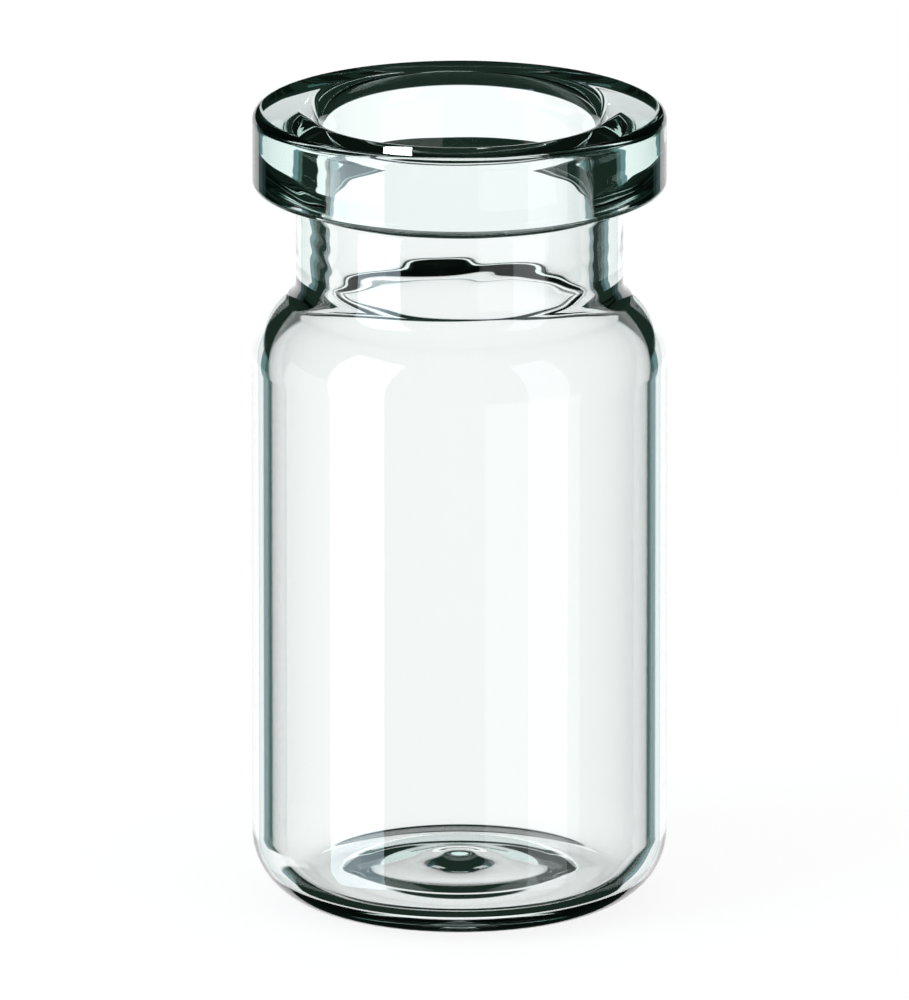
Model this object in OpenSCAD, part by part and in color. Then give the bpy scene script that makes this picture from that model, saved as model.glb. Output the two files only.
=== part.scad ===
// Crimp-neck sample vial in clear tubing glass.
// One piece of glass, turned about +Z, standing on z = 0 with the mouth up.
// The half section is drawn in straight lines and true arcs that run smoothly into each other, so each
// face is a cylinder, a cone, a torus or a sphere.

/* [Overall] */
// Height from the standing ring to the highest line of the rim
total_h = 38.8; // [36:0.1:48]
// Outer diameter of the body
body_d = 19.9; // [19.4:0.1:24]
// Glass thickness of the body wall
wall_t = 0.94; // [0.8:0.02:1.2]

/* [Crimp flange] */
// Outer diameter of the flange
flange_d = 19.8; // [19:0.1:22]
// Height of the flange at its outer edge
flange_h = 3.75; // [3.2:0.01:4.4]
// Slope of the flange's underside
flange_slope = 9; // [0:0.2:24]
// Rounding of the upper outer edge
flange_top_r = 0.52; // [0.2:0.02:0.6]
// Rounding of the lower outer edge
flange_low_r = 0.34; // [0.15:0.01:0.5]
// Fillet between the flange and the neck
flange_root_r = 0.72; // [0.3:0.02:1]

/* [Neck] */
// Outer diameter of the neck
neck_d = 15.64; // [15:0.02:16.4]
// Diameter of the bore
bore_d = 12.82; // [11.1:0.02:13.6]
// Rounding of the mouth
mouth_r = 1.27; // [0.6:0.01:2]

/* [Shoulder] */
// Height of the line where the straight body ends
shoulder_z = 26.6; // [25.6:0.1:27]
// Outer radius of the shoulder
shoulder_r = 3.43; // [3:0.01:4.5]
// Fillet between the shoulder and the neck
neck_root_r = 0.97; // [0.2:0.01:1.2]
// Height of the line where the straight cavity ends
shoulder_in_z = 26.28; // [24:0.02:26.6]
// Inner radius of the shoulder
shoulder_in_r = 2.76; // [2:0.01:2.8]
// Rounding where the cavity runs into the bore
bore_root_r = 2.47; // [1:0.01:2.6]

/* [Floor] */
// Height of the floor at its centre
floor_z = 2.27; // [2.1:0.01:3]
// Distance where the knob's crown runs into its foot
knob_r = 0.63; // [0.4:0.01:0.8]
// Slope of the glass there
knob_slope = -21.3; // [-32:0.1:-5]
// Distance where the knob's foot runs into the raised floor
foot_r = 2.46; // [1.8:0.01:2.6]
// Slope of the glass there
foot_slope = 2; // [-4:0.1:5]
// Distance where the raised floor bends over
raised_r = 4.36; // [4.2:0.01:5.1]
// Slope of the glass there
raised_slope = -5.2; // [-14:0.1:-3]
// Distance where it runs into the ring groove
groove_in_r = 5.58; // [5.2:0.01:5.7]
// Slope of the glass there
groove_in_slope = -32.9; // [-34:0.1:-12]
// Distance where the ring groove runs out
groove_out_r = 5.75; // [5.7:0.01:6.7]
// Slope of the glass there
groove_out_slope = 1.6; // [0:0.1:25]
// Distance where the outer floor straightens
outer_r = 6.96; // [6.8:0.01:7.3]
// Slope of the glass from there to the heel
outer_slope = -3.2; // [-6:0.1:1]
// Distance where the floor turns up into the heel
turn_r = 7.31; // [7.1:0.01:7.6]
// Distance where the turn runs into the slower rise to the wall
climb_r = 8.5; // [8.2:0.01:8.7]
// Slope of the glass there
climb_slope = 52.5; // [35:0.1:65]

/* [Underside] */
// Outer radius of the heel
heel_r = 3.23; // [2.7:0.01:3.5]
// Distance where the hollow's crown begins to dip
crown_r = 1.14; // [0.8:0.01:1.6]
// Slope of the glass there
crown_slope = 7; // [1:0.1:8]
// Distance where the hollow's straight flank begins
flank_r = 3.77; // [3.7:0.01:4.9]
// Slope of the flank
flank_slope = -11.6; // [-20:0.1:-8]
// Distance where the flank runs into the standing ring
ring_in_r = 5.32; // [5.2:0.01:6]
// Distance where the standing ring begins
ring_r = 6.06; // [5.9:0.01:6.5]

/* [Hidden] */
$fn = 128;
lap = 1;                            // how far a cutter runs past the glass it cuts
seam = 0.0006;                      // growth of an arc of radius 1, so arcs cross instead of touching
reach = 0.1;                        // how far the window around an arc runs past its stretch
body_r = body_d / 2;
cavity_r = body_r - wall_t;
flange_r = flange_d / 2;
neck_r = neck_d / 2;
bore_r = bore_d / 2;
shoulder_c = [body_r - shoulder_r, shoulder_z];
shoulder_in_c = [cavity_r - shoulder_in_r, shoulder_in_z];

// Places where one arc runs into the next, each as [distance from the axis, slope in degrees].
floor_bends = [
    [0, 0],
    [knob_r, knob_slope],
    [foot_r, foot_slope],
    [raised_r, raised_slope],
    [groove_in_r, groove_in_slope],
    [groove_out_r, groove_out_slope],
    [outer_r, outer_slope],
    [turn_r, outer_slope],
    [climb_r, climb_slope],
    [cavity_r, 90]
];
under_bends = [
    [0, 0],
    [crown_r, crown_slope],
    [flank_r, flank_slope],
    [ring_in_r, flank_slope],
    [ring_r, 0]
];
flange_bends = [
    [neck_r, 90],
    [neck_r + flange_root_r * (1 - sin(flange_slope)), flange_slope],
    [flange_r - flange_low_r * (1 - sin(flange_slope)), flange_slope],
    [flange_r, 90]
];
under_z = -climb(under_bends, 4);
flange_root_z = total_h - flange_h + flange_low_r - climb(flange_bends, 3);

// Curvature of the stretch that ends at bend i, negative where it curves over.
function bow(bends, i) = (sin(bends[i][1]) - sin(bends[i - 1][1])) / (bends[i][0] - bends[i - 1][0]);

// Height gained over the first n stretches of a chain.
function climb(bends, n) = n == 0 ? 0 : climb(bends, n - 1) + rise(bends, n);

// Height gained over the stretch that ends at bend i.
function rise(bends, i) =
    bow(bends, i) == 0
        ? (bends[i][0] - bends[i - 1][0]) * tan(bends[i][1])
        : (cos(bends[i - 1][1]) - cos(bends[i][1])) / bow(bends, i);

// How far the window around stretch i may run past the bend it shares with stretch j, whose arc would be
// buried if it were the flatter one.
function past(bends, i, j, way) = way * bow(bends, j) > way * bow(bends, i) ? 0 : reach;

// Half plane strip from the axis out to x1, between two heights.
module strip(x1, z0, z1) {
    translate([0, z0]) square([x1, z1 - z0]);
}

// Circles of the stretches that curve up (way 1) or over (way -1), each cut to a window around its stretch.
module arcs(bends, heights, way) {
    last = len(bends) - 1;
    for (i = [1 : last])
        if (way * bow(bends, i) > 0) {
            r = 1 / bow(bends, i);
            from_slope = bends[i - 1][1];
            x0 = bends[i - 1][0] - (i == 1 ? 0 : past(bends, i, i - 1, way));
            x1 = bends[i][0] + (i == last ? reach : past(bends, i, i + 1, way));
            z0 = min(heights[i - 1], heights[i]) - (way > 0 ? lap : reach);
            z1 = max(heights[i - 1], heights[i]) + (way > 0 ? reach : lap);
            intersection() {
                translate([bends[i - 1][0] - r * sin(from_slope), heights[i - 1] + r * cos(from_slope)])
                    circle(abs(r) + seam / abs(r));
                translate([x0, z0]) square([x1 - x0, z1 - z0]);
            }
        }
}

// Area under a chain of stretches that starts at height z, down to the height base.
module under_chain(bends, z, base) {
    last = len(bends) - 1;
    heights = [for (i = [0 : last]) z + climb(bends, i)];
    difference() {
        union() {
            polygon([
                [bends[0][0], base],
                for (i = [0 : last]) [bends[i][0], heights[i]],
                [bends[last][0], base]
            ]);
            arcs(bends, heights, -1);
        }
        arcs(bends, heights, 1);
    }
}

// Area between a square corner and the arc that rounds it. Taken away it rounds the edge.
module spandrel(corner, toward, r) {
    difference() {
        translate([min(corner.x, corner.x + toward.x * r), min(corner.y, corner.y + toward.y * r)])
            square(r);
        translate(corner + toward * r) circle(r);
    }
}

// Fill between an upright wall and the shoulder below it, rounded with radius r, tangent to both. The
// shoulder is an arc, with a flat top inside its centre where the wall stands that far in.
module root_fill(wall_x, arc_c, arc_r, r) {
    on_flat = wall_x + r < arc_c.x;
    rise = on_flat ? arc_r + r : sqrt(pow(arc_r + r, 2) - pow(wall_x + r - arc_c.x, 2));
    fill_c = [wall_x + r, arc_c.y + rise];
    touch = on_flat ? [fill_c.x, arc_c.y + arc_r] : arc_c + (fill_c - arc_c) * arc_r / (arc_r + r);
    difference() {
        polygon([[wall_x - lap, arc_c.y], touch, fill_c, [wall_x - lap, fill_c.y]]);
        translate(fill_c) circle(r + seam / r);
    }
}

// Heel, straight body and shoulder of the outside.
module body_outline() {
    difference() {
        strip(body_r, 0, shoulder_z);
        spandrel([body_r, 0], [-1, 1], heel_r);
    }
    translate(shoulder_c) circle(shoulder_r);
    strip(shoulder_c.x, shoulder_z, shoulder_z + shoulder_r);
}

// Neck and flange that the crimped cap grips, with the fillets above and below the neck.
module finish_outline() {
    difference() {
        strip(flange_r, shoulder_z, total_h);
        spandrel([flange_r, total_h], [-1, -1], flange_top_r);
        under_chain(flange_bends, flange_root_z, shoulder_z - lap);
    }
    root_fill(neck_r, shoulder_c, shoulder_r, neck_root_r);
}

// Inside of the vial, from the floor up to the mouth.
module cavity_outline() {
    difference() {
        strip(cavity_r, 0, shoulder_in_z);
        under_chain(floor_bends, floor_z, -lap);
    }
    translate(shoulder_in_c) circle(shoulder_in_r);
    strip(shoulder_in_c.x, shoulder_in_z, shoulder_in_z + shoulder_in_r);
    strip(bore_r, shoulder_in_z, total_h + lap);
    root_fill(bore_r, shoulder_in_c, shoulder_in_r, bore_root_r);
    spandrel([bore_r, total_h], [1, -1], mouth_r);
}

// Right half of the section through the axis.
module section() {
    difference() {
        union() {
            body_outline();
            finish_outline();
        }
        cavity_outline();
        under_chain(under_bends, under_z, -lap);
    }
}

module vial() {
    color("paleturquoise", 0.35) rotate_extrude() section();
}

vial();
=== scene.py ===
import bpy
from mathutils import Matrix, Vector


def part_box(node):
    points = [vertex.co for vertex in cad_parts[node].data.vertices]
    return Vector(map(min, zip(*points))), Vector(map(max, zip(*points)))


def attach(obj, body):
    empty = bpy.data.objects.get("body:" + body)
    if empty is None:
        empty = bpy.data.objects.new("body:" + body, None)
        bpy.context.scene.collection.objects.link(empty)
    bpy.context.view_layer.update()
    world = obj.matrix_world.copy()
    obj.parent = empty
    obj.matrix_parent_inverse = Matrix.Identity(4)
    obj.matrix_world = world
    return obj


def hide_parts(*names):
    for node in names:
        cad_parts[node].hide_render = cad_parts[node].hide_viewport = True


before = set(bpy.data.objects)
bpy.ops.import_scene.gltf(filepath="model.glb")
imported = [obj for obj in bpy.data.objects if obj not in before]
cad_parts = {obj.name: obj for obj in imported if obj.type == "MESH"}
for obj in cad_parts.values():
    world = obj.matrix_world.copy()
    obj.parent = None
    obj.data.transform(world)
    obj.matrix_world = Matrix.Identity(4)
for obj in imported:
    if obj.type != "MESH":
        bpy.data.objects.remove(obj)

"""Looks of a clear glass sample vial: one turned piece of tubing glass on a pale table."""

import logging
import math
from dataclasses import dataclass
from enum import Enum
from itertools import pairwise

import bmesh
import bpy
from mathutils import Vector

MM = 0.001                      # one millimetre in metres
HOLD = 0.02                     # length of the short edge at each end of a straight stretch, in millimetres
HOLD_MOST = 0.25                # the most of the stretch that it may take up
LEAST_STEPS = 3                 # fewest edges in a stretch of a chain
SAME_PLACE = 1e-7               # distance in metres under which two points are one
ALL_ROUND = 200.0               # half width in degrees of a card that goes right round
NADIR = -120.0                  # low edge in degrees of a card that covers everything below
UP = Vector((0.0, 0.0, 1.0))
WHITE = (1.0, 1.0, 1.0, 1.0)

Colour = tuple[float, float, float, float]
Feed = bpy.types.NodeSocket | float
log = logging.getLogger("vial")


class Turn(Enum):
    """Way in which an arc of the outline runs round its centre."""

    LEFT = -1.0
    RIGHT = 1.0


class Sight(Enum):
    """Way in which a card is seen through the vial, by the number of glass surfaces that the light meets."""

    ONE_WALL = 2
    WALL_EDGE = 3
    BOTH_WALLS = 4


@dataclass(frozen=True)
class Bend:
    """A place where one stretch of the outline runs into the next.

    reach is its distance from the axis in millimetres, slope the slope of the glass there in degrees.
    """

    reach: float
    slope: float


def bow(start: Bend, end: Bend) -> float:
    """Find how strongly the stretch between two bends curves.

    Args:
        start: Where the stretch begins.
        end: Where it ends.

    Returns:
        One over its radius in millimetres, above zero where it curves upwards. Zero where it is straight.
    """
    gain = math.sin(math.radians(end.slope)) - math.sin(math.radians(start.slope))
    return gain / (end.reach - start.reach)


def rise(start: Bend, end: Bend) -> float:
    """Find the height that the stretch between two bends gains.

    Args:
        start: Where the stretch begins.
        end: Where it ends.

    Returns:
        The height of its end over its beginning in millimetres.
    """
    if start.slope == end.slope:
        return (end.reach - start.reach) * math.tan(math.radians(end.slope))
    return (math.cos(math.radians(start.slope)) - math.cos(math.radians(end.slope))) / bow(start, end)


def climb(bends: tuple[Bend, ...]) -> float:
    """Add up the height that a chain of stretches gains.

    Args:
        bends: The places where its stretches meet, in order.

    Returns:
        The height of the last bend over the first in millimetres.
    """
    return sum(rise(start, end) for start, end in pairwise(bends))


def soft_step(value: float, low: float, high: float) -> float:
    """Rise smoothly from 0 to 1.

    Args:
        value: Where on the step.
        low: Value at which the step begins.
        high: Value at which it is done.

    Returns:
        The height of the step there.
    """
    part = min(max((value - low) / (high - low), 0.0), 1.0)
    return part * part * (3.0 - 2.0 * part)


class Pen:
    """Draws a half section in the XZ plane by extruding and spinning one vertex."""

    def __init__(self, x: float, z: float) -> None:
        """Put the pen down.

        Args:
            x: Distance from the axis in millimetres.
            z: Height in millimetres.
        """
        self.mesh = bmesh.new()
        self.tip = self.mesh.verts.new((x * MM, 0.0, z * MM))

    def line(self, x: float, z: float, steps: int = 1) -> None:
        """Draw a straight stretch, with a short edge at either end that keeps the shading of the bends out.

        Args:
            x: Distance of its end from the axis in millimetres.
            z: Height of its end in millimetres.
            steps: Number of edges between the short ones.
        """
        start, end = self.tip.co.copy(), Vector((x * MM, 0.0, z * MM))
        hold = min(HOLD * MM / (end - start).length, HOLD_MOST)
        parts = [hold + (1.0 - 2.0 * hold) * i / steps for i in range(steps + 1)] + [1.0]
        for part in parts:
            made = bmesh.ops.extrude_vert_indiv(self.mesh, verts=[self.tip])
            self.tip = made["verts"][0]
            self.tip.co = start.lerp(end, part)

    def arc(self, x: float, z: float, degrees: float, turn: Turn, steps: int) -> None:
        """Draw an arc about a centre.

        Args:
            x: Distance of the centre from the axis in millimetres.
            z: Height of the centre in millimetres.
            degrees: Angle that the arc turns through.
            turn: Way round the centre.
            steps: Number of edges.
        """
        made = bmesh.ops.spin(
            self.mesh,
            geom=[self.tip],
            cent=(x * MM, 0.0, z * MM),
            axis=(0.0, turn.value, 0.0),
            angle=math.radians(degrees),
            steps=steps,
        )
        self.tip = made["geom_last"][0]

    def follow(self, bends: tuple[Bend, ...], stride: float) -> None:
        """Draw a chain of arcs and straight stretches from the pen's tip, which stands at the first bend.

        Args:
            bends: The places where the stretches meet, in order.
            stride: Length of an edge in millimetres.
        """
        for start, end in pairwise(bends):
            gain = rise(start, end)
            steps = max(LEAST_STEPS, round(math.hypot(end.reach - start.reach, gain) / stride))
            z = self.tip.co.z / MM
            if start.slope == end.slope:
                self.line(end.reach, z + gain, steps)
                continue
            radius = 1.0 / bow(start, end)
            lean = math.radians(start.slope)
            turn = Turn.LEFT if end.slope > start.slope else Turn.RIGHT
            sweep = abs(end.slope - start.slope)
            self.arc(start.reach - radius * math.sin(lean), z + radius * math.cos(lean), sweep, turn, steps)


class Graph:
    """Short ways to add nodes to a node tree."""

    def __init__(self, tree: bpy.types.NodeTree) -> None:
        """Take over an empty tree.

        Args:
            tree: The node tree.
        """
        tree.nodes.clear()
        self.nodes = tree.nodes
        self.links = tree.links

    def feed(self, socket: bpy.types.NodeSocket, value: Feed) -> None:
        """Link a socket or set its number.

        Args:
            socket: The socket that takes the value.
            value: Another socket or a number.
        """
        if isinstance(value, float):
            socket.default_value = value
        else:
            self.links.new(value, socket)

    def maths(self, operation: str, first: Feed, second: Feed = 0.0) -> bpy.types.NodeSocket:
        """Add a Math node.

        Args:
            operation: What it does.
            first: Its first value.
            second: Its second value.

        Returns:
            The result.
        """
        node = self.nodes.new("ShaderNodeMath")
        node.operation = operation
        self.feed(node.inputs[0], first)
        self.feed(node.inputs[1], second)
        return node.outputs[0]

    def step(self, value: bpy.types.NodeSocket, low: float, high: float) -> bpy.types.NodeSocket:
        """Add a smooth step from 0 to 1, or from 1 to 0 where low lies above high.

        Args:
            value: Where on the step.
            low: Value at which the result is 0.
            high: Value at which it is 1.

        Returns:
            The height of the step.
        """
        node = self.nodes.new("ShaderNodeMapRange")
        node.interpolation_type = "SMOOTHSTEP"
        self.links.new(value, node.inputs["Value"])
        node.inputs["From Min"].default_value = min(low, high)
        node.inputs["From Max"].default_value = max(low, high)
        node.inputs["To Min"].default_value = 0.0 if low < high else 1.0
        node.inputs["To Max"].default_value = 1.0 if low < high else 0.0
        return node.outputs[0]

    def blend(
        self, factor: bpy.types.NodeSocket, under: bpy.types.NodeSocket | Colour, over: Colour
    ) -> bpy.types.NodeSocket:
        """Lay a colour over another.

        Args:
            factor: How much of the upper colour shows.
            under: The lower colour.
            over: The upper colour.

        Returns:
            The blended colour.
        """
        node = self.nodes.new("ShaderNodeMixRGB")
        self.links.new(factor, node.inputs["Fac"])
        if isinstance(under, tuple):
            node.inputs["Color1"].default_value = under
        else:
            self.links.new(under, node.inputs["Color1"])
        node.inputs["Color2"].default_value = over
        return node.outputs[0]

    def seen_by(self, depth: bpy.types.NodeSocket, sights: tuple[Sight, ...]) -> Feed:
        """Tell whether a ray that reaches the world has come through the glass in one of the wanted ways.

        Args:
            depth: Depth of the ray, which is one more than the surfaces it has met.
            sights: The wanted ways. Empty means any.

        Returns:
            1 if so, else 0.
        """
        if not sights:
            return 1.0
        found: Feed = 0.0
        for sight in sights:
            same = self.nodes.new("ShaderNodeMath")
            same.operation = "COMPARE"
            self.links.new(depth, same.inputs[0])
            same.inputs[1].default_value = sight.value + 1.0
            same.inputs[2].default_value = 0.5
            found = self.maths("ADD", same.outputs[0], found)
        return found

    def choose(self, factor: Feed, off: bpy.types.Node, on: bpy.types.Node) -> bpy.types.Node:
        """Mix two shaders.

        Args:
            factor: How much of the second shader shows.
            off: The first shader's node.
            on: The second shader's node.

        Returns:
            The mixing node.
        """
        node = self.nodes.new("ShaderNodeMixShader")
        self.feed(node.inputs[0], factor)
        self.links.new(off.outputs[0], node.inputs[1])
        self.links.new(on.outputs[0], node.inputs[2])
        return node

    def seen_by_glass(self) -> bpy.types.NodeSocket:
        """Tell rays that come through or off the glass from all others.

        Returns:
            1 for those rays, 0 for the others.
        """
        path = self.nodes.new("ShaderNodeLightPath")
        return self.maths("MAXIMUM", path.outputs["Is Transmission Ray"], path.outputs["Is Glossy Ray"])


@dataclass(frozen=True)
class ClearGlass:
    """Clear tubing glass with a faint green tint that shows where the light runs a long way through it.

    draw_scale is how many draw lines go to a metre along each axis, and draw_height their height in metres.
    """

    name: str = "clear_glass"
    ior: float = 1.515
    tint: Colour = (0.167, 0.917, 0.75, 1.0)
    density: float = 24.0
    draw_scale: tuple[float, float, float] = (520.0, 520.0, 26.0)
    draw_height: float = 0.0000006

    def material(self) -> bpy.types.Material:
        """Build the material.

        Returns:
            The glass material.
        """
        made = bpy.data.materials.new(self.name)
        made.use_nodes = True
        graph = Graph(made.node_tree)
        out = graph.nodes.new("ShaderNodeOutputMaterial")
        shader = graph.nodes.new("ShaderNodeBsdfPrincipled")
        shader.inputs["Base Color"].default_value = WHITE
        shader.inputs["Roughness"].default_value = 0.0
        shader.inputs["IOR"].default_value = self.ior
        shader.inputs["Transmission Weight"].default_value = 1.0
        graph.links.new(self.draw_lines(graph), shader.inputs["Normal"])
        inside = graph.nodes.new("ShaderNodeVolumeAbsorption")
        inside.inputs["Color"].default_value = self.tint
        inside.inputs["Density"].default_value = self.density
        graph.links.new(shader.outputs["BSDF"], out.inputs["Surface"])
        graph.links.new(inside.outputs["Volume"], out.inputs["Volume"])
        return made

    def draw_lines(self, graph: Graph) -> bpy.types.NodeSocket:
        """Add the faint lengthwise lines that drawing leaves in a glass tube.

        Args:
            graph: The material's nodes.

        Returns:
            The surface normal with the lines in it.
        """
        place = graph.nodes.new("ShaderNodeTexCoord")
        stretch = graph.nodes.new("ShaderNodeMapping")
        stretch.inputs["Scale"].default_value = self.draw_scale
        grain = graph.nodes.new("ShaderNodeTexNoise")
        grain.inputs["Scale"].default_value = 1.0
        grain.inputs["Detail"].default_value = 1.0
        bump = graph.nodes.new("ShaderNodeBump")
        bump.inputs["Distance"].default_value = self.draw_height
        graph.links.new(place.outputs["Object"], stretch.inputs["Vector"])
        graph.links.new(stretch.outputs["Vector"], grain.inputs["Vector"])
        graph.links.new(grain.outputs["Fac"], bump.inputs["Height"])
        return bump.outputs["Normal"]


@dataclass(frozen=True)
class Wave:
    """One wave of an uneven surface.

    pitch is its length up the vial and depth its height, in millimetres. sways moves its crests up and down
    as they go round the vial: each is a count of swings, a start angle and a size, both angles in radians.
    """

    pitch: float
    depth: float
    sways: tuple[tuple[int, float, float], ...]


@dataclass(frozen=True)
class Ripple:
    """Faint unevenness that the forming tools leave in the neck."""

    waves: tuple[Wave, ...]

    def shift(self, angle: float, z: float) -> float:
        """Find how far the glass stands out of round.

        Args:
            angle: Bearing of the place in radians.
            z: Its height in millimetres.

        Returns:
            The shift in millimetres.
        """
        total = 0.0
        for wave in self.waves:
            phase = sum(size * math.sin(count * angle + start) for count, start, size in wave.sways)
            total += wave.depth * math.sin(math.tau * z / wave.pitch + phase)
        return total


@dataclass(frozen=True)
class Fineness:
    """How finely the outline is divided: edges in each stretch, and lengths of an edge in millimetres."""

    around: int = 208
    wave_edge: float = 0.13
    under_edge: float = 0.14
    floor_edge: float = 0.1
    flange_edge: float = 0.1
    heel: int = 40
    upright: int = 4
    shoulder: int = 36
    neck_root: int = 10
    flange_side: int = 8
    flange_top: int = 14
    rim: int = 3
    mouth: int = 30
    bore_root: int = 18
    shoulder_in: int = 22


@dataclass
class Vial:
    """The vial, turned from its half section. Sizes are in millimetres, slopes in degrees.

    The waves begin wave_foot below the top of the shoulder and end wave_head below the rim. They come and go
    over wave_fade, and leave the outer flange_keep of the flange alone.
    """

    total_h: float
    body_r: float
    wall_t: float = 0.94
    flange_r: float = 9.9
    flange_h: float = 3.75
    flange_slope: float = 9.0
    flange_top_r: float = 0.52
    flange_low_r: float = 0.34
    flange_root_r: float = 0.72
    neck_r: float = 7.82
    bore_r: float = 6.41
    mouth_r: float = 1.27
    shoulder_z: float = 26.6
    shoulder_r: float = 3.43
    neck_root_r: float = 0.97
    shoulder_in_z: float = 26.28
    shoulder_in_r: float = 2.76
    bore_root_r: float = 2.47
    heel_r: float = 3.23
    floor_z: float = 2.27
    floor_bends: tuple[Bend, ...] = (
        Bend(0.0, 0.0), Bend(0.63, -21.3), Bend(2.46, 2.0), Bend(4.36, -5.2), Bend(5.58, -32.9),
        Bend(5.75, 1.6), Bend(6.96, -3.2), Bend(7.31, -3.2), Bend(8.5, 52.5),
    )
    under_bends: tuple[Bend, ...] = (
        Bend(0.0, 0.0), Bend(1.14, 7.0), Bend(3.77, -11.6), Bend(5.32, -11.6), Bend(6.06, 0.0),
    )
    bore_waves: Ripple = Ripple((
        Wave(1.25, 0.0022, ((2, 0.5, 2.4), (5, 1.1, 1.6))),
        Wave(0.87, 0.0014, ((3, 2.1, 2.9), (7, 0.3, 1.4))),
        Wave(2.3, 0.0040, ((1, 4.0, 1.9), (4, 2.2, 1.7))),
    ))
    neck_waves: Ripple = Ripple((
        Wave(1.1, 0.0016, ((3, 2.0, 2.5), (7, 0.4, 1.2))),
        Wave(1.9, 0.0020, ((2, 1.0, 2.0), (5, 3.4, 1.5))),
    ))
    wave_foot: float = 0.6
    wave_head: float = 0.9
    wave_fade: float = 1.2
    flange_keep: float = 0.6
    fineness: Fineness = Fineness()

    def root(
        self, wall: float, centre: tuple[float, float], radius: float, fill: float
    ) -> tuple[float, float, float]:
        """Find where a fill rolls between an upright wall and the shoulder arc below it.

        Args:
            wall: Distance of the wall from the axis.
            centre: Distance and height of the shoulder arc's centre.
            radius: Radius of the shoulder arc.
            fill: Radius of the fill.

        Returns:
            Distance and height of the fill's centre, and the shoulder arc's angle in degrees where they meet.
        """
        x = wall + fill
        up = math.sqrt((radius + fill) ** 2 - (x - centre[0]) ** 2)
        return x, centre[1] + up, math.degrees(math.atan2(up, x - centre[0]))

    def section(self) -> Pen:
        """Draw the half section: out along the underside, up the outside, and down the inside to the floor.

        Returns:
            The pen with the finished outline.
        """
        pen = Pen(0.0, -climb(self.under_bends))
        pen.follow(self.under_bends, self.fineness.under_edge)
        ring = self.body_r - self.heel_r
        pen.line(ring, 0.0)
        pen.arc(ring, self.heel_r, 90.0, Turn.LEFT, self.fineness.heel)
        pen.line(self.body_r, self.shoulder_z, self.fineness.upright)
        self.outer_finish(pen)
        self.mouth(pen)
        cavity_r = self.body_r - self.wall_t
        chain = (*self.floor_bends, Bend(cavity_r, 90.0))
        pen.line(cavity_r, self.floor_z + climb(chain), self.fineness.upright)
        pen.follow(tuple(reversed(chain)), self.fineness.floor_edge)
        return pen

    def outer_finish(self, pen: Pen) -> None:
        """Draw the shoulder, the neck and the flange up to the flat of the rim.

        Args:
            pen: Pen whose tip stands at the top of the straight body.
        """
        shoulder = (self.body_r - self.shoulder_r, self.shoulder_z)
        x, z, lean = self.root(self.neck_r, shoulder, self.shoulder_r, self.neck_root_r)
        pen.arc(*shoulder, lean, Turn.LEFT, self.fineness.shoulder)
        pen.arc(x, z, lean, Turn.RIGHT, self.fineness.neck_root)
        take = 1.0 - math.sin(math.radians(self.flange_slope))
        under = (
            Bend(self.neck_r, 90.0),
            Bend(self.neck_r + self.flange_root_r * take, self.flange_slope),
            Bend(self.flange_r - self.flange_low_r * take, self.flange_slope),
            Bend(self.flange_r, 90.0),
        )
        root_z = self.total_h - self.flange_h + self.flange_low_r - climb(under)
        pen.line(self.neck_r, root_z, round((root_z - z) / self.fineness.wave_edge))
        pen.follow(under, self.fineness.flange_edge)
        top_z = self.total_h - self.flange_top_r
        pen.line(self.flange_r, top_z, self.fineness.flange_side)
        pen.arc(self.flange_r - self.flange_top_r, top_z, 90.0, Turn.LEFT, self.fineness.flange_top)

    def mouth(self, pen: Pen) -> None:
        """Draw the mouth, the bore and the inner shoulder.

        Args:
            pen: Pen whose tip stands at the outer edge of the rim's flat.
        """
        lip = (self.bore_r + self.mouth_r, self.total_h - self.mouth_r)
        pen.line(lip[0], self.total_h, self.fineness.rim)
        pen.arc(*lip, 90.0, Turn.LEFT, self.fineness.mouth)
        inner = (self.body_r - self.wall_t - self.shoulder_in_r, self.shoulder_in_z)
        x, z, lean = self.root(self.bore_r, inner, self.shoulder_in_r, self.bore_root_r)
        pen.line(self.bore_r, z, round((lip[1] - z) / self.fineness.wave_edge))
        pen.arc(x, z, lean, Turn.LEFT, self.fineness.bore_root)
        pen.arc(*inner, lean, Turn.RIGHT, self.fineness.shoulder_in)

    def build(self) -> bpy.types.Object:
        """Turn the half section into the glass.

        Returns:
            The vial's object.
        """
        work = self.section().mesh
        bmesh.ops.spin(
            work,
            geom=work.verts[:] + work.edges[:],
            cent=(0.0, 0.0, 0.0),
            axis=UP,
            angle=math.tau,
            steps=self.fineness.around,
            use_merge=True,
        )
        bmesh.ops.remove_doubles(work, verts=work.verts, dist=SAME_PLACE)
        bmesh.ops.recalc_face_normals(work, faces=work.faces)
        self.form(work)
        for face in work.faces:
            face.smooth = True
        mesh = bpy.data.meshes.new("vial_glass")
        work.to_mesh(mesh)
        work.free()
        piece = bpy.data.objects.new("vial_glass", mesh)
        bpy.context.collection.objects.link(piece)
        return piece

    def form(self, work: bmesh.types.BMesh) -> None:
        """Leave the marks of the forming tools on the bore and the neck.

        Args:
            work: The turned glass.
        """
        middle = (self.bore_r + self.neck_r) / 2.0
        foot = self.shoulder_z + self.shoulder_r - self.wave_foot
        top = self.total_h - self.wave_head
        for vert in work.verts:
            x, y, z = vert.co / MM
            reach = math.hypot(x, y)
            fade = soft_step(z, foot, foot + self.wave_fade) * (1.0 - soft_step(z, top - self.wave_fade, top))
            if fade == 0.0 or reach > self.flange_r - self.flange_keep:
                continue
            waves = self.bore_waves if reach < middle else self.neck_waves
            scale = 1.0 + waves.shift(math.atan2(y, x), z) * fade / reach
            vert.co.x *= scale
            vert.co.y *= scale

    def dress(self, piece: bpy.types.Object, finish: ClearGlass) -> None:
        """Give the vial its finish and its place in the frame.

        Args:
            piece: The vial's object.
            finish: Its glass.
        """
        piece.data.materials.append(finish.material())
        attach(piece, "root")
        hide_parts("vial")


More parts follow.
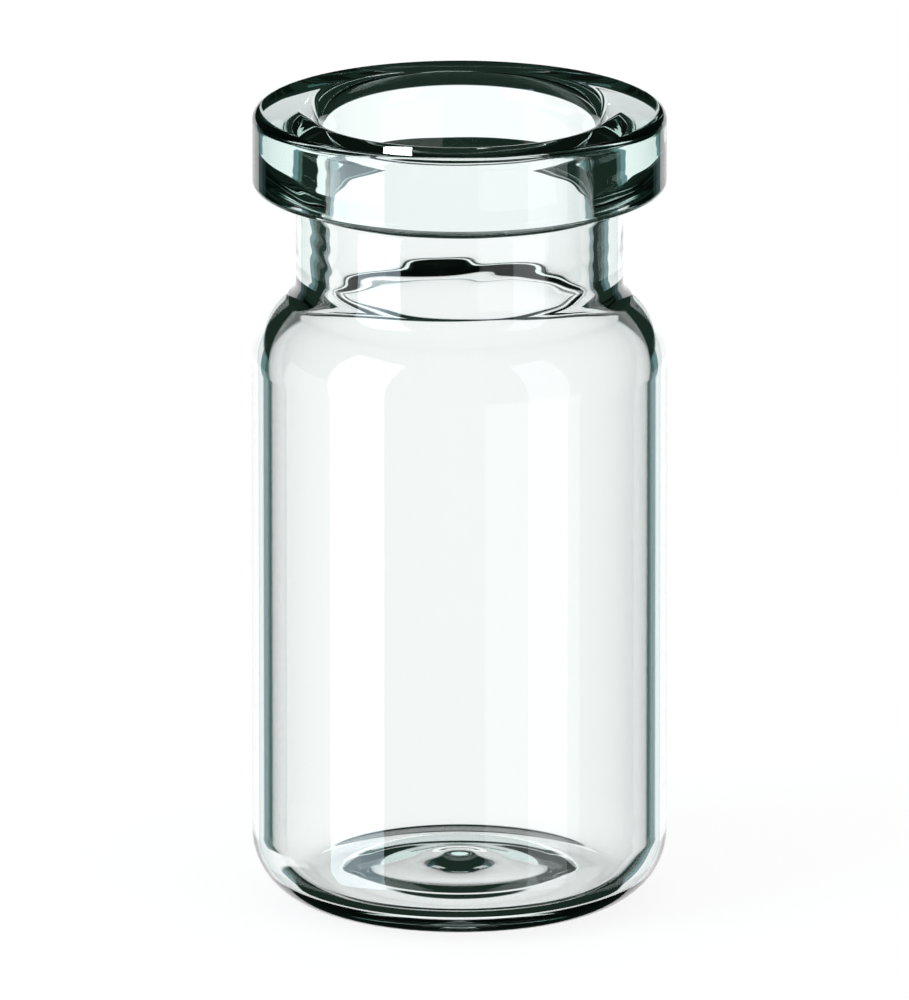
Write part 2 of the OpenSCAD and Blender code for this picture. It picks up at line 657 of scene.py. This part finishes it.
@dataclass(frozen=True)
class Card:
    """A white card of the studio, seen from the vial. Angles are in degrees.

    wings gives it the grey wings of the studio. sights are the ways in which it is seen through the glass.
    Empty means any way.
    """

    bearing: float
    half_width: float
    low: float
    high: float
    wings: bool = False
    sights: tuple[Sight, ...] = ()


@dataclass(frozen=True)
class Softbox:
    """A soft lamp. Angles are in degrees, lengths in metres. aim is the point it faces, in millimetres."""

    name: str
    bearing: float
    rise: float
    away: float
    width: float
    height: float
    watts: float
    colour: tuple[float, float, float]
    aim: tuple[float, float, float] = (0.0, 0.0, 19.5)


@dataclass
class Studio:
    """Pale table, white cards, lamps and camera.

    edge is half the soft edge of a card, in degrees. Each wing is its reach past the card in degrees, and its
    shade. table_shadow is the share of the table's white that takes light and shadow. table_half, near and far
    are in metres, and table_drop, lens, film and look_at in millimetres.
    """

    cards: tuple[Card, ...] = (
        Card(90.0, 30.0, -34.5, 2.5, wings=True),
        Card(180.0, 30.0, -20.0, 15.0, sights=(Sight.ONE_WALL, Sight.WALL_EDGE, Sight.BOTH_WALLS)),
        Card(315.0, 30.0, -31.0, 5.0, sights=(Sight.ONE_WALL, Sight.WALL_EDGE, Sight.BOTH_WALLS)),
        Card(135.0, 30.0, -50.0, -21.0, sights=(Sight.ONE_WALL, Sight.BOTH_WALLS)),
        Card(135.0, 30.0, -29.0, -21.0, sights=(Sight.WALL_EDGE,)),
        Card(0.0, ALL_ROUND, NADIR, -48.0, sights=(Sight.BOTH_WALLS,)),
    )
    softboxes: tuple[Softbox, ...] = (
        Softbox("soft_left", 211.0, 8.0, 0.5, 0.32, 0.9, 4.5, (0.72, 0.9, 1.0)),
        Softbox("soft_right", 320.0, 8.0, 0.5, 0.22, 0.9, 1.0, (0.9, 0.95, 1.0)),
        Softbox("rim_glint", 90.0, 14.65, 0.06, 0.0014, 0.0012, 5e-5, (1.0, 1.0, 1.0), (-3.05, -8.2, 38.8)),
    )
    edge: float = 0.9
    dark: Colour = (0.012, 0.024, 0.018, 1.0)
    wings: tuple[tuple[float, Colour], ...] = (
        (12.0, (0.08, 0.15, 0.13, 1.0)),
        (7.0, (0.18, 0.30, 0.33, 1.0)),
    )
    lit: Colour = (1.10, 1.10, 1.10, 1.0)
    table_colour: Colour = (0.9, 0.9, 0.9, 1.0)
    table_shadow: float = 0.12
    table_half: float = 0.9
    table_drop: float = 0.02
    lens: float = 1000.0
    film: float = 36.0
    frame_px: float = 1000.0
    px_per_mm: float = 20.9
    near: float = 0.05
    far: float = 10.0
    look_down: float = 15.0
    look_at: tuple[float, float, float] = (-0.24, 0.0, 19.49)

    def world(self) -> None:
        """Build the world: cards in the dark to what comes through or off the glass, white to all else."""
        world = bpy.data.worlds.new("studio")
        bpy.context.scene.world = world
        world.use_nodes = True
        graph = Graph(world.node_tree)
        out = graph.nodes.new("ShaderNodeOutputWorld")
        path = graph.nodes.new("ShaderNodeLightPath")
        colour: bpy.types.NodeSocket | Colour = self.dark
        for card in self.cards:
            shows = graph.seen_by(path.outputs["Ray Depth"], card.sights)
            colour = self.card(graph, card, colour, shows)
        cards = graph.nodes.new("ShaderNodeBackground")
        graph.links.new(colour, cards.inputs["Color"])
        plain = graph.nodes.new("ShaderNodeBackground")
        plain.inputs["Color"].default_value = WHITE
        around = graph.choose(graph.seen_by_glass(), plain, cards)
        shown = graph.choose(path.outputs["Is Camera Ray"], around, plain)
        graph.links.new(shown.outputs[0], out.inputs["Surface"])

    def card(
        self, graph: Graph, card: Card, under: bpy.types.NodeSocket | Colour, shows: Feed
    ) -> bpy.types.NodeSocket:
        """Hang one card in the world.

        Args:
            graph: The world's nodes.
            card: The card.
            under: Colour of the world behind it.
            shows: How much of the card the ray at hand sees.

        Returns:
            The colour of the world with the card.
        """
        place = graph.nodes.new("ShaderNodeTexCoord")
        turn = graph.nodes.new("ShaderNodeVectorRotate")
        turn.rotation_type = "Z_AXIS"
        turn.inputs["Angle"].default_value = -math.radians(card.bearing)
        split = graph.nodes.new("ShaderNodeSeparateXYZ")
        graph.links.new(place.outputs["Generated"], turn.inputs["Vector"])
        graph.links.new(turn.outputs[0], split.inputs[0])
        bearing = graph.maths("ARCTAN2", split.outputs["Y"], split.outputs["X"])
        side = graph.maths("DEGREES", graph.maths("ABSOLUTE", bearing))
        height = graph.maths("DEGREES", graph.maths("ARCSINE", split.outputs["Z"]))
        over = graph.step(height, card.low - self.edge, card.low + self.edge)
        below = graph.step(height, card.high + self.edge, card.high - self.edge)
        tall = graph.maths("MULTIPLY", graph.maths("MULTIPLY", over, below), shows)
        colour = under
        wings = self.wings if card.wings else ()
        for past, shade in (*wings, (0.0, self.lit)):
            limit = card.half_width + past
            wide = graph.step(side, limit + self.edge, limit - self.edge)
            colour = graph.blend(graph.maths("MULTIPLY", tall, wide), colour, shade)
        return colour

    def table(self) -> None:
        """Lay the pale table under the vial. The glass looks through it at the white cards."""
        work = bmesh.new()
        bmesh.ops.create_grid(work, x_segments=1, y_segments=1, size=self.table_half)
        mesh = bpy.data.meshes.new("table")
        work.to_mesh(mesh)
        work.free()
        top = bpy.data.objects.new("table", mesh)
        bpy.context.collection.objects.link(top)
        top.location.z = -self.table_drop * MM
        finish = bpy.data.materials.new("pale_table")
        finish.use_nodes = True
        graph = Graph(finish.node_tree)
        out = graph.nodes.new("ShaderNodeOutputMaterial")
        matt = graph.nodes.new("ShaderNodeBsdfDiffuse")
        matt.inputs["Color"].default_value = self.table_colour
        lit = graph.nodes.new("ShaderNodeEmission")
        through = graph.nodes.new("ShaderNodeBsdfTransparent")
        pale = graph.choose(self.table_shadow, lit, matt)
        shown = graph.choose(graph.seen_by_glass(), pale, through)
        graph.links.new(shown.outputs[0], out.inputs["Surface"])
        mesh.materials.append(finish)

    def lamp(self, box: Softbox) -> None:
        """Hang a softbox.

        Args:
            box: The softbox.
        """
        data = bpy.data.lights.new(box.name, "AREA")
        data.shape = "RECTANGLE"
        data.size, data.size_y = box.width, box.height
        data.energy = box.watts
        data.color = box.colour
        lamp = bpy.data.objects.new(box.name, data)
        angle, up = math.radians(box.bearing), math.radians(box.rise)
        flat = math.cos(up)
        place = Vector((math.cos(angle) * flat, math.sin(angle) * flat, math.sin(up))) * box.away
        lamp.location = place + Vector(box.aim) * MM
        lamp.rotation_euler = (-place).to_track_quat("-Z", "Y").to_euler()
        lamp.visible_camera = False
        lamp.visible_transmission = False
        bpy.context.collection.objects.link(lamp)

    def camera(self) -> None:
        """Set the long lens."""
        data = bpy.data.cameras.new("camera")
        data.lens = self.lens
        data.sensor_width = self.film
        data.clip_start = self.near
        data.clip_end = self.far
        eye = bpy.data.objects.new("camera", data)
        down = math.radians(self.look_down)
        target = Vector(self.look_at) * MM
        away = self.lens / self.film * self.frame_px / self.px_per_mm * MM
        eye.location = target + Vector((0.0, -math.cos(down), math.sin(down))) * away
        eye.rotation_euler = (target - eye.location).to_track_quat("-Z", "Y").to_euler()
        bpy.context.collection.objects.link(eye)
        bpy.context.scene.camera = eye


def main() -> None:
    """Build the vial and its studio."""
    logging.basicConfig(level=logging.INFO, format="%(name)s: %(message)s")
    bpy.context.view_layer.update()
    studio = Studio()
    studio.camera()
    top = Vector(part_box("vial")[1]) / MM
    vial = Vial(total_h=round(top.z, 2), body_r=round(top.x, 2))
    piece = vial.build()
    vial.dress(piece, ClearGlass())
    log.info("vial_glass: %d faces", len(piece.data.polygons))
    studio.world()
    studio.table()
    for box in studio.softboxes:
        studio.lamp(box)
    log.info("studio: %d cards, %d softboxes", len(studio.cards), len(studio.softboxes))
    bpy.context.scene.view_settings.view_transform = "Standard"


if __name__ == "__main__":
    main()
